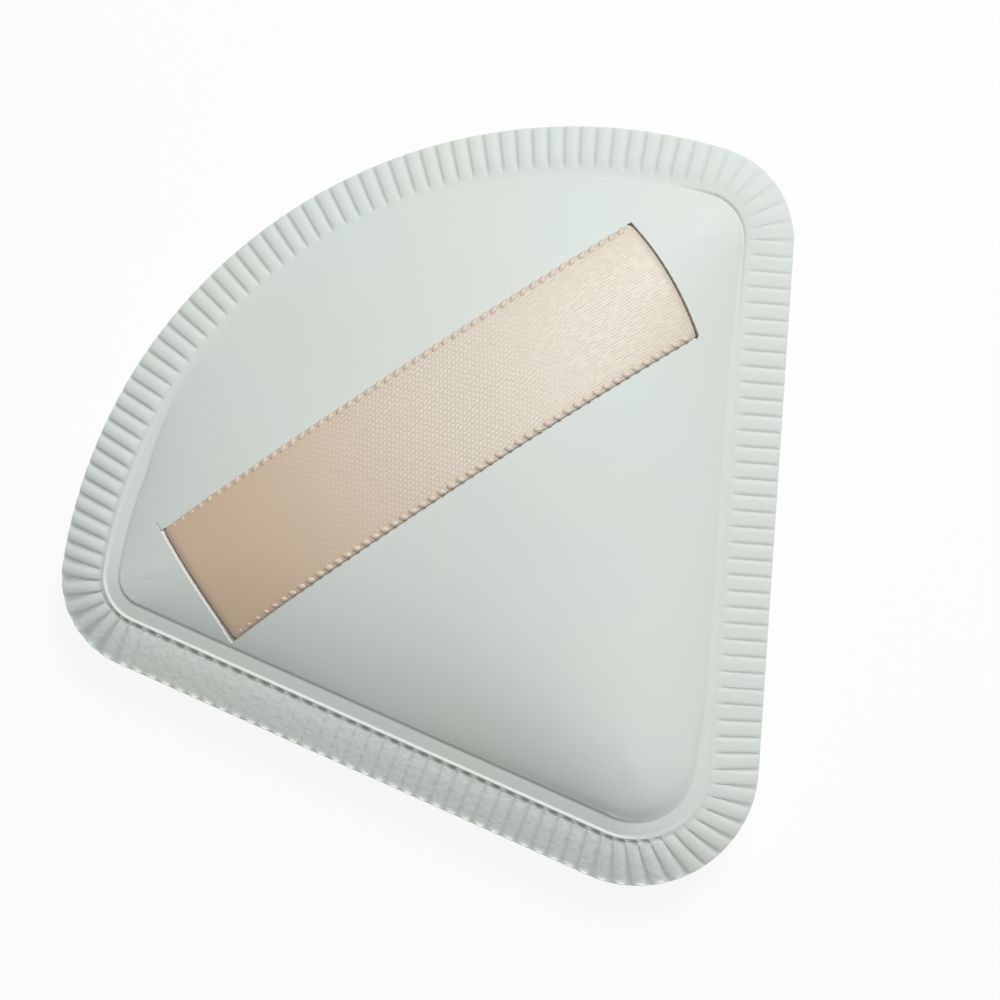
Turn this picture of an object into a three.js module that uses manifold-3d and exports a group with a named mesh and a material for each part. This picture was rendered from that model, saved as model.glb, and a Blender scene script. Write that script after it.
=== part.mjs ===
// Fan-shaped powder puff with a ribbed weld rim and a satin finger ribbon.
// A back cover and a plush front face are welded together at the rim, round a foam core.
// The ribbon crosses the back and folds through two slits, and a patch holds each of its tails.
// Millimetres, +Z up. The puff lies on its plush face, +X runs along the ribbon, and +Y runs
// from the rounded tip to the wide arc.

import * as THREE from 'three';
import Module from 'manifold-3d';

const wasm = await Module();
wasm.setup();

// Outline of the rim, seen from above
const SIDE_HALF_ANGLE = THREE.MathUtils.degToRad(35.2);
const ARC_RADIUS = 47.3;
const ARC_CENTRE_FROM_POINT = 31.8; // measured from the point where the straight sides would meet
const TIP_RADIUS = 11.1;
const CORNER_RADIUS = 8.7;

// Ribbed band of the rim: insets run inwards from the edge, heights up from the weld plane
const EDGE_BORDER = 0.4;
const EDGE_HEIGHT = 0.5;
const RIB_LENGTH = 3.4;
const RIB_PITCH = 1.45; // along the middle of the band
const RIB_HEIGHT = 0.8;
const RIB_CROWN = 0.1;
const GROOVE_WIDTH = 0.45;
const GROOVE_DEPTH = 0.35;

// Bead, ledge and crease between the ribs and the back pillow
const BEAD_WIDTH = 0.7;
const BEAD_RISE = 0.25;
const LEDGE_AT_ARC = 0.2;
const LEDGE_AT_TIP = 0.9;
const CREASE_HEIGHT = 0.75;

// Back cover and plush front face
const COVER_SHEET = 0.7;
const BACK_RISE = 6.2;
const FRONT_SHEET = 0.9;
const FRONT_RIM = 0.7;
const FRONT_RISE = 7;
const REST_FLAT = 0.5; // how deep the plush is pressed flat where the puff rests
const CROWN_POWER = 2.2;
const SHOULDER_POWER = 0.9;

// Foam core
const FOAM_GAP = 0.3;
const FOAM_EDGE_GAP = 1.5;

// Ribbon, its slits and the patches over its tails
const RIBBON_WIDTH = 12;
const RIBBON_THICKNESS = 0.4;
const RIBBON_GAP = 0.3;
const RIBBON_FROM_CENTRE = 4.25;
const RIBBON_SKEW = THREE.MathUtils.degToRad(1.25);
const SLIT_CLEARANCE = 0.45;
const SLIT_MARGIN = 2.2; // cover left between a slit's end and the crease
const TAIL_LENGTH = 10;
const PATCH_MARGIN = 1.5;
const PATCH_THICKNESS = 0.3;
const PATCH_GAP = 0.3;

// Fineness of the facets
const PILLOW_LEVELS = [0.25, 0.47, 0.67, 0.83, 0.93, 0.98];
const FINE_LEVEL = 0.5; // inside this level a pillow ring has half as many points
const BAND_STEP = 3;
const BAND_STRIPS = 4;
const FOLD_STEPS = 8;

const SIN_SIDE = Math.sin(SIDE_HALF_ANGLE);
const COS_SIDE = Math.cos(SIDE_HALF_ANGLE);
const RIB_END = EDGE_BORDER + RIB_LENGTH;
const BAND_MIDDLE = RIB_END / 2;
const BAND_LINE = bandLine();
const RIB_COUNT = 4 * Math.round(BAND_LINE.getLength() / RIB_PITCH / 4); // rings halve it twice

// The pillow's centre is as far from the straight sides as from the arc.
const ARC_TOP = ARC_CENTRE_FROM_POINT + ARC_RADIUS;
const TIP_BOTTOM = TIP_RADIUS / SIN_SIDE - TIP_RADIUS;
const CENTRE = new THREE.Vector2(0, ARC_TOP / (1 + SIN_SIDE));
const SIDE_CREASE = creaseInset(new THREE.Vector2(COS_SIDE, -SIN_SIDE));
const ROUND_RADIUS = CENTRE.y * SIN_SIDE - SIDE_CREASE;

// Heights below the weld plane, and the ring where the pressed flat begins
const REST_HEIGHT = REST_FLAT - FRONT_RIM - FRONT_RISE;
const REST_LEVEL = levelOfCrown(1 - REST_FLAT / FRONT_RISE);
const FOAM_LEVEL = 1 - FOAM_EDGE_GAP / ROUND_RADIUS;

// Ribbon heights are measured from the cover's outer surface, and lengths from its middle.
const RIBBON_OVER = RIBBON_GAP + RIBBON_THICKNESS / 2;
const RIBBON_UNDER = -COVER_SHEET - RIBBON_GAP - RIBBON_THICKNESS / 2;
const PATCH_HEIGHT = RIBBON_UNDER - (RIBBON_THICKNESS + PATCH_THICKNESS) / 2 - PATCH_GAP;
const RIBBON_CENTRE = new THREE.Vector2(CENTRE.x, CENTRE.y + RIBBON_FROM_CENTRE);
const SLIT_REACH = slitReach();
const FOLD_RADIUS = (RIBBON_OVER - RIBBON_UNDER) / 2;
const FOLD_REACH = SLIT_REACH - FOLD_RADIUS;
const TAIL_REACH = FOLD_REACH - TAIL_LENGTH;
const PATCH_WIDTH = RIBBON_WIDTH + 2 * PATCH_MARGIN;

// Two straight sides, a wide arc and three rounded corners, anticlockwise from the tip. The line
// runs along the middle of the ribbed band, where the ribs are evenly spaced.
function bandLine() {
  const tipY = TIP_RADIUS / SIN_SIDE;
  const lowY = CORNER_RADIUS / SIN_SIDE;
  const drop = lowY - ARC_CENTRE_FROM_POINT;
  const reach = ARC_RADIUS - CORNER_RADIUS;
  const along = Math.sqrt(reach ** 2 - (drop * SIN_SIDE) ** 2) - drop * COS_SIDE;
  const cornerX = along * SIN_SIDE;
  const cornerY = lowY + along * COS_SIDE;
  const turn = Math.atan2(cornerY - ARC_CENTRE_FROM_POINT, cornerX);
  const path = new THREE.Path();
  const addArc = (x, y, radius, first, last) => path.absarc(x, y, radius - BAND_MIDDLE, first, last);
  addArc(0, tipY, TIP_RADIUS, -Math.PI / 2, -SIDE_HALF_ANGLE);
  addArc(cornerX, cornerY, CORNER_RADIUS, -SIDE_HALF_ANGLE, turn);
  addArc(0, ARC_CENTRE_FROM_POINT, ARC_RADIUS, turn, Math.PI - turn);
  addArc(-cornerX, cornerY, CORNER_RADIUS, Math.PI - turn, Math.PI + SIDE_HALF_ANGLE);
  addArc(0, tipY, TIP_RADIUS, Math.PI + SIDE_HALF_ANGLE, Math.PI * 1.5);
  return path;
}

function range(count, first = 0) {
  return Array.from({ length: count }, (_, i) => first + i);
}

// Root of an increasing function
function solve(increasing, low, high, halvings = 40) {
  for (let step = 0; step < halvings; step += 1) {
    const middle = (low + high) / 2;
    if (increasing(middle) < 0) low = middle;
    else high = middle;
  }
  return (low + high) / 2;
}

// The ledge inside the bead is widest at the tip and narrowest along the arc.
function creaseInset(outward) {
  const share = ((1 - outward.y) / 2) ** 2;
  return RIB_END + BEAD_WIDTH + THREE.MathUtils.lerp(LEDGE_AT_ARC, LEDGE_AT_TIP, share);
}

// A point of the rim: turn runs from 0 to 1 round the puff, inset may depend on the direction
function rimPoint(turn, inset, height) {
  const point = BAND_LINE.getPoint(turn);
  const tangent = BAND_LINE.getTangent(turn);
  const outward = new THREE.Vector2(tangent.y, -tangent.x);
  const depth = typeof inset === 'function' ? inset(outward) : inset;
  point.addScaledVector(outward, BAND_MIDDLE - depth);
  return new THREE.Vector3(point.x, point.y, height);
}

function rimRing(inset, height) {
  return range(RIB_COUNT).map((i) => rimPoint(i / RIB_COUNT, inset, height));
}

// A ring across the ribs: a crowned rib, then a V groove
function ribRing(inset) {
  const half = (GROOVE_WIDTH / 2 / BAND_LINE.getLength()) * RIB_COUNT;
  const section = [
    [0, RIB_HEIGHT + RIB_CROWN],
    [0.5 - half, RIB_HEIGHT],
    [0.5, RIB_HEIGHT - GROOVE_DEPTH],
    [0.5 + half, RIB_HEIGHT],
  ];
  return range(RIB_COUNT).flatMap((i) =>
    section.map(([step, height]) => rimPoint((i + step) / RIB_COUNT, inset, height)),
  );
}

// Levels of the pillow are 1 at the crease and 0 at the centre, and grow rounder towards it.
function reachOfLevel(level, creaseReach) {
  return level * THREE.MathUtils.lerp(ROUND_RADIUS, creaseReach, level ** 2);
}

function fromCentre(turn) {
  const crease = rimPoint(turn, creaseInset, 0);
  return new THREE.Vector2(crease.x, crease.y).sub(CENTRE);
}

function pillowRing(level, height) {
  const count = level > FINE_LEVEL ? RIB_COUNT / 2 : RIB_COUNT / 4;
  return range(level > 0 ? count : 1).map((i) => {
    const spoke = fromCentre(i / count);
    const point = spoke.setLength(reachOfLevel(level, spoke.length())).add(CENTRE);
    return new THREE.Vector3(point.x, point.y, height);
  });
}

// Angle round the centre, anticlockwise from the tip
function bearing(spoke) {
  const angle = Math.atan2(spoke.x, -spoke.y);
  return angle < 0 ? angle + 2 * Math.PI : angle;
}

function levelAt(x, y) {
  const spoke = new THREE.Vector2(x, y).sub(CENTRE);
  const target = bearing(spoke);
  const turn = solve((u) => bearing(fromCentre(u)) - target, 0, 1);
  const creaseReach = fromCentre(turn).length();
  return solve((level) => reachOfLevel(level, creaseReach) - spoke.length(), 0, 1);
}

// Share of the pillow's full rise at a level, and the level that has a given share
function crown(level) {
  return (1 - level ** CROWN_POWER) ** SHOULDER_POWER;
}

function levelOfCrown(share) {
  return (1 - share ** (1 / SHOULDER_POWER)) ** (1 / CROWN_POWER);
}

function backOuter(level) {
  return CREASE_HEIGHT + BACK_RISE * crown(level);
}

function backInner(level) {
  return backOuter(level) - COVER_SHEET;
}

function frontOuter(level) {
  return Math.max(-FRONT_RIM - FRONT_RISE * crown(level), REST_HEIGHT);
}

function frontInner(level) {
  return frontOuter(level) + FRONT_SHEET;
}

// Half the distance between the slits: the ribbon's lower corners keep the margin to the sides.
function slitReach() {
  const lowY = RIBBON_CENTRE.y - RIBBON_WIDTH / 2;
  return (lowY * SIN_SIDE - SIDE_CREASE - SLIT_MARGIN) / COS_SIDE;
}

// Joins two neighbouring rings with triangles, whatever their counts
function zip(a, b, triangles) {
  let i = 0;
  let j = 0;
  while (i < a.count || j < b.count) {
    const fromA = a.first + (i % a.count);
    const fromB = b.first + (j % b.count);
    const stepA = j === b.count || (i < a.count && (i + 1) / a.count <= (j + 1) / b.count);
    if (stepA) i += 1;
    else j += 1;
    if (stepA && a.count > 1) triangles.push(fromA, a.first + (i % a.count), fromB);
    if (!stepA && b.count > 1) triangles.push(fromA, b.first + (j % b.count), fromB);
  }
}

// Closes the end of a band with a strip between the two faces of its section
function capEnd(span, order, triangles) {
  const last = span.count - 1;
  for (const k of range(span.count / 2 - 1)) {
    const corners = [k, k + 1, last - k - 1, last - k];
    const [a, b, c, d] = order.map((corner) => span.first + corners[corner]);
    triangles.push(a, b, c, a, c, d);
  }
}

// Closed body through a run of rings: each end is a single point, or the section of a band
function loft(rings) {
  const points = rings.flat();
  const triangles = [];
  let first = 0;
  const spans = rings.map((ring) => {
    const span = { first, count: ring.length };
    first += ring.length;
    return span;
  });
  capEnd(spans[0], [0, 3, 2, 1], triangles);
  spans.slice(1).forEach((span, k) => zip(spans[k], span, triangles));
  capEnd(spans.at(-1), [0, 1, 2, 3], triangles);
  const mesh = new wasm.Mesh({
    numProp: 3,
    vertProperties: new Float32Array(points.flatMap((p) => p.toArray())),
    triVerts: new Uint32Array(triangles),
  });
  return new wasm.Manifold(mesh);
}

// A point over the cover: along and across the ribbon, and up from the cover's outer surface
function overCover(along, across, up) {
  const point = new THREE.Vector2(along, across);
  point.rotateAround(new THREE.Vector2(), RIBBON_SKEW).add(RIBBON_CENTRE);
  return new THREE.Vector3(point.x, point.y, backOuter(levelAt(point.x, point.y)) + up);
}

function sectionOfBand(centre, tangent, width, thickness) {
  const normal = new THREE.Vector2(-tangent.y, tangent.x).multiplyScalar(thickness / 2);
  const lower = centre.clone().sub(normal);
  const upper = centre.clone().add(normal);
  const strips = range(BAND_STRIPS + 1).map((k) => (k / BAND_STRIPS - 0.5) * width);
  return [
    ...strips.map((across) => overCover(lower.x, across, lower.y)),
    ...strips.reverse().map((across) => overCover(upper.x, across, upper.y)),
  ];
}

// Flat band that follows a path of lengths and heights over the cover
function band(path, width, thickness) {
  const sections = path.curves.flatMap((curve, k) => {
    const steps = curve.isEllipseCurve ? FOLD_STEPS : Math.ceil(curve.getLength() / BAND_STEP);
    const first = k === 0 ? 0 : 1;
    return range(steps + 1 - first, first).map((i) =>
      sectionOfBand(curve.getPoint(i / steps), curve.getTangent(i / steps), width, thickness),
    );
  });
  return loft(sections);
}

function straightBand(from, to, width, thickness) {
  return band(new THREE.Path([from, to]), width, thickness);
}

function slitCutter(side) {
  const along = side * SLIT_REACH;
  const low = new THREE.Vector2(along, RIBBON_UNDER);
  const high = new THREE.Vector2(along, RIBBON_OVER);
  const width = RIBBON_WIDTH + 2 * SLIT_CLEARANCE;
  return straightBand(low, high, width, RIBBON_THICKNESS + 2 * SLIT_CLEARANCE);
}

// Domed back sheet with the ribbed weld rim, its bead and crease, and the two ribbon slits
function backCover() {
  const outwards = [0, ...PILLOW_LEVELS];
  const inwards = outwards.toReversed();
  const skin = loft([
    ...outwards.map((level) => pillowRing(level, backInner(level))),
    rimRing(creaseInset, 0),
    rimRing(0, 0),
    rimRing(0, EDGE_HEIGHT),
    ribRing(EDGE_BORDER),
    ribRing(RIB_END),
    rimRing(RIB_END + BEAD_WIDTH / 2, RIB_HEIGHT + BEAD_RISE),
    rimRing(RIB_END + BEAD_WIDTH, RIB_HEIGHT),
    rimRing(creaseInset, CREASE_HEIGHT),
    ...inwards.map((level) => pillowRing(level, backOuter(level))),
  ]);
  return skin.subtract(slitCutter(-1)).subtract(slitCutter(1));
}

// Plush face, pressed flat where it rests, with a plain flat rim under the weld
function frontFace() {
  const domed = PILLOW_LEVELS.filter((level) => level > REST_LEVEL);
  const inwards = [0, ...PILLOW_LEVELS].toReversed();
  return loft([
    pillowRing(0, REST_HEIGHT),
    pillowRing(REST_LEVEL, REST_HEIGHT),
    ...domed.map((level) => pillowRing(level, frontOuter(level))),
    rimRing(creaseInset, -FRONT_RIM),
    rimRing(0, -FRONT_RIM),
    rimRing(0, 0),
    rimRing(creaseInset, 0),
    ...inwards.map((level) => pillowRing(level, frontInner(level))),
  ]);
}

// Room in the foam for a folded tail and its patch
function tailPocket(side) {
  const low = PATCH_HEIGHT - PATCH_THICKNESS / 2 - FOAM_GAP;
  const inner = TAIL_REACH - PATCH_MARGIN - FOAM_GAP;
  const outer = SLIT_REACH + RIBBON_THICKNESS / 2 + FOAM_GAP;
  const from = new THREE.Vector2(side * inner, low / 2);
  const to = new THREE.Vector2(side * outer, low / 2);
  return straightBand(from, to, PATCH_WIDTH + 2 * FOAM_GAP, -low);
}

// Foam lens that fills both domes
function foamCore() {
  const outwards = [0, ...PILLOW_LEVELS, 1].map((level) => level * FOAM_LEVEL);
  const inwards = outwards.toReversed();
  const lens = loft([
    ...outwards.map((level) => pillowRing(level, frontInner(level) + FOAM_GAP)),
    ...inwards.map((level) => pillowRing(level, backInner(level) - FOAM_GAP)),
  ]);
  return lens.subtract(tailPocket(-1)).subtract(tailPocket(1));
}

// One length of satin ribbon: tail, fold, strap, fold, tail
function ribbonStrap() {
  const middle = (RIBBON_OVER + RIBBON_UNDER) / 2;
  const path = new THREE.Path();
  path.moveTo(-TAIL_REACH, RIBBON_UNDER);
  path.absarc(-FOLD_REACH, middle, FOLD_RADIUS, -Math.PI / 2, -Math.PI * 1.5, true);
  path.lineTo(FOLD_REACH, RIBBON_OVER);
  path.absarc(FOLD_REACH, middle, FOLD_RADIUS, Math.PI / 2, -Math.PI / 2, true);
  path.lineTo(TAIL_REACH, RIBBON_UNDER);
  return band(path, RIBBON_WIDTH, RIBBON_THICKNESS);
}

// Adhesive patch that bonds a folded tail under the cover
function tailPatch(side) {
  const from = new THREE.Vector2(side * (TAIL_REACH - PATCH_MARGIN), PATCH_HEIGHT);
  const to = new THREE.Vector2(side * FOLD_REACH, PATCH_HEIGHT);
  return straightBand(from, to, PATCH_WIDTH, PATCH_THICKNESS);
}

function coverMaterial() {
  return new THREE.MeshStandardMaterial({ color: 0xd9e2dd, roughness: 0.5, metalness: 0 });
}

function plushMaterial() {
  return new THREE.MeshStandardMaterial({ color: 0xf1f0ea, roughness: 1, metalness: 0 });
}

function foamMaterial() {
  return new THREE.MeshStandardMaterial({ color: 0xf4efe2, roughness: 0.95, metalness: 0 });
}

function satinMaterial() {
  return new THREE.MeshStandardMaterial({ color: 0xe2cdb9, roughness: 0.35, metalness: 0 });
}

function patchMaterial() {
  return new THREE.MeshStandardMaterial({ color: 0xe9e9e4, roughness: 0.6, metalness: 0 });
}

function piece(name, body, material) {
  const { vertProperties, triVerts } = body.getMesh();
  const geometry = new THREE.BufferGeometry();
  geometry.setAttribute('position', new THREE.BufferAttribute(vertProperties, 3));
  geometry.setIndex(new THREE.BufferAttribute(triVerts, 1));
  geometry.computeVertexNormals();
  const mesh = new THREE.Mesh(geometry, material);
  mesh.name = name;
  return mesh;
}

// The pieces are drawn from the weld plane, so the pad is lifted and centred over the origin.
const pad = new THREE.Group();
pad.position.set(0, -(ARC_TOP + TIP_BOTTOM) / 2, -REST_HEIGHT);
pad.add(
  piece('back_cover', backCover(), coverMaterial()),
  piece('front_face', frontFace(), plushMaterial()),
  piece('foam_core', foamCore(), foamMaterial()),
  piece('ribbon_strap', ribbonStrap(), satinMaterial()),
  piece('left_tail_patch', tailPatch(-1), patchMaterial()),
  piece('right_tail_patch', tailPatch(1), patchMaterial()),
);

const powderPuff = new THREE.Group();
powderPuff.add(pad);

export default powderPuff;
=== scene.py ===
# %% [markdown]
# # A powder puff seen from its back
# The puff is a fan-shaped pad for pressing powder onto skin. Its back is a mint-white synthetic
# sheet, its face is a short plush, and foam lies between them. The skins are welded together round
# the edge, which leaves a band of pressed ribs, and a satin ribbon runs through two slits in the
# back to hold a finger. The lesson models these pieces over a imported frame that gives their
# real sizes and the one joint, the ribbon's lift.

# %% Load the frame
import math
from typing import NamedTuple

import bmesh
import bpy
import numpy as np
from mathutils import Matrix, Vector
from mathutils.bvhtree import BVHTree


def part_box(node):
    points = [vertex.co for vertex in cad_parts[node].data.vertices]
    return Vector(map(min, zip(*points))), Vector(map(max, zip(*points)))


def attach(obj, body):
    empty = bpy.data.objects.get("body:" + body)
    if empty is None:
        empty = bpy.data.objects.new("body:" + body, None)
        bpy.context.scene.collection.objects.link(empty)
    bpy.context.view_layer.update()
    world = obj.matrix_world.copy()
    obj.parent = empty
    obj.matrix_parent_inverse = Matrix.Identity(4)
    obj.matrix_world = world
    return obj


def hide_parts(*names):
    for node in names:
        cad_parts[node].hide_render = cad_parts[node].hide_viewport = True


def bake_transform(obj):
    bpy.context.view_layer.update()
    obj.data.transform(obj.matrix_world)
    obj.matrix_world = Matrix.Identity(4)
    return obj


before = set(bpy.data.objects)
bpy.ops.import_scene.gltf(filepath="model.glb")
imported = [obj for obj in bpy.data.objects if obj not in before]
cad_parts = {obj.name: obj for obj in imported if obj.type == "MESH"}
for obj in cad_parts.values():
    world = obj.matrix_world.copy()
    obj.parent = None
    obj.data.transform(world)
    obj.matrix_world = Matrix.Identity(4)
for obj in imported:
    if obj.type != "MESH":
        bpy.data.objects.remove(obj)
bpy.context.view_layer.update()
MM = 0.001
print("frame nodes:", ", ".join(sorted(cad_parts)))

# %% [markdown]
# ## The camera
# The photo looks almost straight down on the back, from far off for such a small thing, so the
# perspective is weak. One could turn a camera by eye until the outline fits. Here the outline's
# corners were matched first, which gives three turns of the puff before the camera, and the camera
# takes the opposite turn. It is tipped a little more, so that the puff sits as low in the picture
# as it does in the photo, and no lens shift is needed.

# %% Camera
PHOTO_SIDE = 1000
FOCAL_PIXELS = 2961
SENSOR_WIDTH = 36
PUFF_TURN = math.radians(31.09)
PUFF_LEAN = math.radians(-6.71)
PUFF_TIP = math.radians(-2.82)
CAMERA_DISTANCE = 269 * MM
AIM_POINT = Vector((0, -0.73 * MM, 8 * MM))
AIM_PIXELS_BELOW_MIDDLE = 38.7
CLIP_START = 10 * MM

puff_in_view = (
    Matrix.Rotation(PUFF_TIP, 3, "X")
    @ Matrix.Rotation(PUFF_LEAN, 3, "Y")
    @ Matrix.Rotation(PUFF_TURN, 3, "Z")
)
towards_camera = puff_in_view.transposed() @ Vector((0, 0, 1))
look_up = math.atan(AIM_PIXELS_BELOW_MIDDLE / FOCAL_PIXELS)
camera_turn = puff_in_view.transposed() @ Matrix.Rotation(look_up, 3, "X")
bpy.ops.object.select_all(action="DESELECT")
bpy.ops.object.camera_add(
    location=AIM_POINT + CAMERA_DISTANCE * towards_camera,
    rotation=camera_turn.to_euler(),
)
camera = bpy.context.object
camera.data.sensor_width = SENSOR_WIDTH
camera.data.lens = SENSOR_WIDTH * FOCAL_PIXELS / PHOTO_SIDE
camera.data.clip_start = CLIP_START
bpy.context.scene.camera = camera
print("camera lens in mm:", round(camera.data.lens, 1))

# %% [markdown]
# ## Materials as expressions
# Node trees get long, and dragging links is hard to read back. A small class wraps a socket, so
# that sums and products of it add Math nodes, and one method adds any other node from its type,
# its settings and its inputs. A finish is then a few lines of arithmetic.

# %% Shader helper
class Field:
    """A value that changes over a surface: a socket that takes part in sums."""

    def __init__(self, nodes, socket):
        self.nodes = nodes
        self.socket = socket

    def maths(self, operation, *values):
        inputs = dict(enumerate(values))
        return self.nodes.node("ShaderNodeMath", {"operation": operation}, inputs)

    def __add__(self, other):
        return self.maths("ADD", self, other)

    __radd__ = __add__

    def __sub__(self, other):
        return self.maths("SUBTRACT", self, other)

    def __rsub__(self, other):
        return self.maths("SUBTRACT", other, self)

    def __mul__(self, other):
        return self.maths("MULTIPLY", self, other)

    __rmul__ = __mul__

    def __truediv__(self, other):
        return self.maths("DIVIDE", self, other)

    def above(self, level, softness):
        """0 below a level, 1 above it, with a soft step between."""
        settings = {"interpolation_type": "SMOOTHSTEP"}
        inputs = {0: self, 1: level - softness, 2: level + softness}
        return self.nodes.node("ShaderNodeMapRange", settings, inputs)


class Nodes:
    """A node tree whose nodes are written as expressions."""

    def __init__(self, tree):
        self.tree = tree

    def node(self, kind, settings=None, inputs=None, output=0):
        made = self.tree.nodes.new(kind)
        for name, value in (settings or {}).items():
            setattr(made, name, value)
        for key, value in (inputs or {}).items():
            self.feed(made.inputs[key], value)
        return Field(self, made.outputs[output])

    def feed(self, socket, value):
        if isinstance(value, Field):
            self.tree.links.new(value.socket, socket)
        else:
            socket.default_value = value

    def seen_directly(self):
        """1 for camera, mirror and glass rays, else 0."""
        rays = ("Is Camera Ray", "Is Glossy Ray", "Is Transmission Ray")
        camera, mirror, glass = (self.node("ShaderNodeLightPath", output=ray) for ray in rays)
        return camera.maths("MAXIMUM", camera, mirror.maths("MAXIMUM", mirror, glass))


print("shader maths is written with", Field.__name__, "and", Nodes.__name__)

# %% Finish helper
class Finish(Nodes):
    """A material's nodes, with textures and with its shader's inputs by name."""

    def __init__(self, name, **shine):
        self.material = bpy.data.materials.new(name)
        self.material.use_nodes = True
        super().__init__(self.material.node_tree)
        self.shader = self.tree.nodes["Principled BSDF"]
        self.set(**shine)

    def set(self, **shine):
        for name, value in shine.items():
            self.feed(self.shader.inputs[name.replace("_", " ").title().replace("Ior", "IOR")], value)

    def attribute(self, name):
        """Values kept at the points of a mesh."""
        return self.node("ShaderNodeAttribute", {"attribute_name": name}, output="Fac")

    def spot(self, x, y):
        """A place made of two coordinates."""
        return self.node("ShaderNodeCombineXYZ", {}, {0: x, 1: y})

    def place(self, turn=0, stretch=(1, 1, 1)):
        """Object coordinates, turned about Z and stretched."""
        where = self.node("ShaderNodeTexCoord", output="Object")
        inputs = {"Vector": where, "Rotation": (0, 0, turn), "Scale": stretch}
        return self.node("ShaderNodeMapping", {}, inputs)

    def noise(self, where, size, detail=2):
        """Smooth noise whose blotches are about size across."""
        inputs = {"Vector": where, "Scale": 1 / size, "Detail": detail}
        return self.node("ShaderNodeTexNoise", {}, inputs)

    def bricks(self, where, length, width, mortar):
        """1 in the soft gaps between staggered bricks, 0 on the bricks."""
        inputs = {
            "Vector": where,
            "Scale": 1,
            "Brick Width": length,
            "Row Height": width,
            "Mortar Size": mortar,
            "Mortar Smooth": 1,
        }
        return self.node("ShaderNodeTexBrick", {"offset": 0.5}, inputs, output="Fac")

    def mix(self, share, first, second):
        """One colour blended into another."""
        inputs = {0: share, 6: first, 7: second}
        return self.node("ShaderNodeMix", {"data_type": "RGBA"}, inputs, output=2)

    def bump(self, height, depth, strength=1):
        """Relief of a height field, depth metres from its lowest to its highest."""
        inputs = {"Height": height, "Distance": depth, "Strength": strength}
        self.set(normal=self.node("ShaderNodeBump", {}, inputs))


print("materials are written with", Finish.__name__)

# %% [markdown]
# ## Floor and light
# The photo has a white ground and soft light from its upper right, close enough that the far side of
# the puff is darker. One large lamp near that side gives the falloff, and an even pale surround
# fills the rest. Floor and surround look white to the camera and to mirror-like rays. To the soft
# light that falls on the puff they are dimmer: the surround only fills the shade, and the floor
# glows a little from below, as a lit white table does, so that the plush isn't black. A share of
# plain diffuse white in the floor keeps the puff's soft shadow.

# %% Lamp and surround
LAMP_BEARING = math.radians(26)
LAMP_AWAY = 290 * MM
LAMP_HEIGHT = 480 * MM
LAMP_SIDE = 180 * MM
LAMP_WATTS = 2.55
SURROUND_LIGHT = 0.2

lamp_place = Vector((
    LAMP_AWAY * math.cos(LAMP_BEARING),
    LAMP_AWAY * math.sin(LAMP_BEARING),
    LAMP_HEIGHT,
))
bpy.ops.object.select_all(action="DESELECT")
bpy.ops.object.light_add(
    type="AREA",
    location=lamp_place,
    rotation=lamp_place.to_track_quat("Z", "Y").to_euler(),
)
lamp = bpy.context.object
lamp.data.size = LAMP_SIDE
lamp.data.energy = LAMP_WATTS
lamp.visible_camera = False

surround = bpy.data.worlds.new("pale_surround")
surround.use_nodes = True
bpy.context.scene.world = surround
sky = Nodes(surround.node_tree)
brightness = {"Value": sky.seen_directly(), "To Min": SURROUND_LIGHT}
background = sky.tree.nodes["Background"]
background.inputs["Color"].default_value = (1, 1, 1, 1)
sky.feed(background.inputs["Strength"], sky.node("ShaderNodeMapRange", {}, brightness))
bpy.context.scene.view_settings.view_transform = "Standard"
print("lamp at mm:", [round(side / MM) for side in lamp_place])

# %% Floor
FLOOR_SIDE = 6
FLOOR_GAP = 0.05 * MM
WHITE_SHARE = 0.9
GLOW_SHARE = 0.4
FLOOR_GREY = (0.8, 0.8, 0.8, 1)

bpy.ops.object.select_all(action="DESELECT")
bpy.ops.mesh.primitive_plane_add(size=FLOOR_SIDE, location=(0, 0, -FLOOR_GAP))
floor = bpy.context.object
floor.name = "floor"
floor_finish = Finish("floor_white", base_color=FLOOR_GREY, roughness=1)
shares = {"Value": floor_finish.seen_directly(), "To Min": GLOW_SHARE, "To Max": WHITE_SHARE}
glow_share = floor_finish.node("ShaderNodeMapRange", {}, shares)
plain = Field(floor_finish, floor_finish.shader.outputs[0])
glow = floor_finish.node("ShaderNodeEmission")
blend = floor_finish.node("ShaderNodeMixShader", {}, {0: glow_share, 1: plain, 2: glow})
floor_finish.feed(floor_finish.tree.nodes["Material Output"].inputs["Surface"], blend)
floor.data.materials.append(floor_finish.material)
print("floor side in m:", FLOOR_SIDE)
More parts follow.
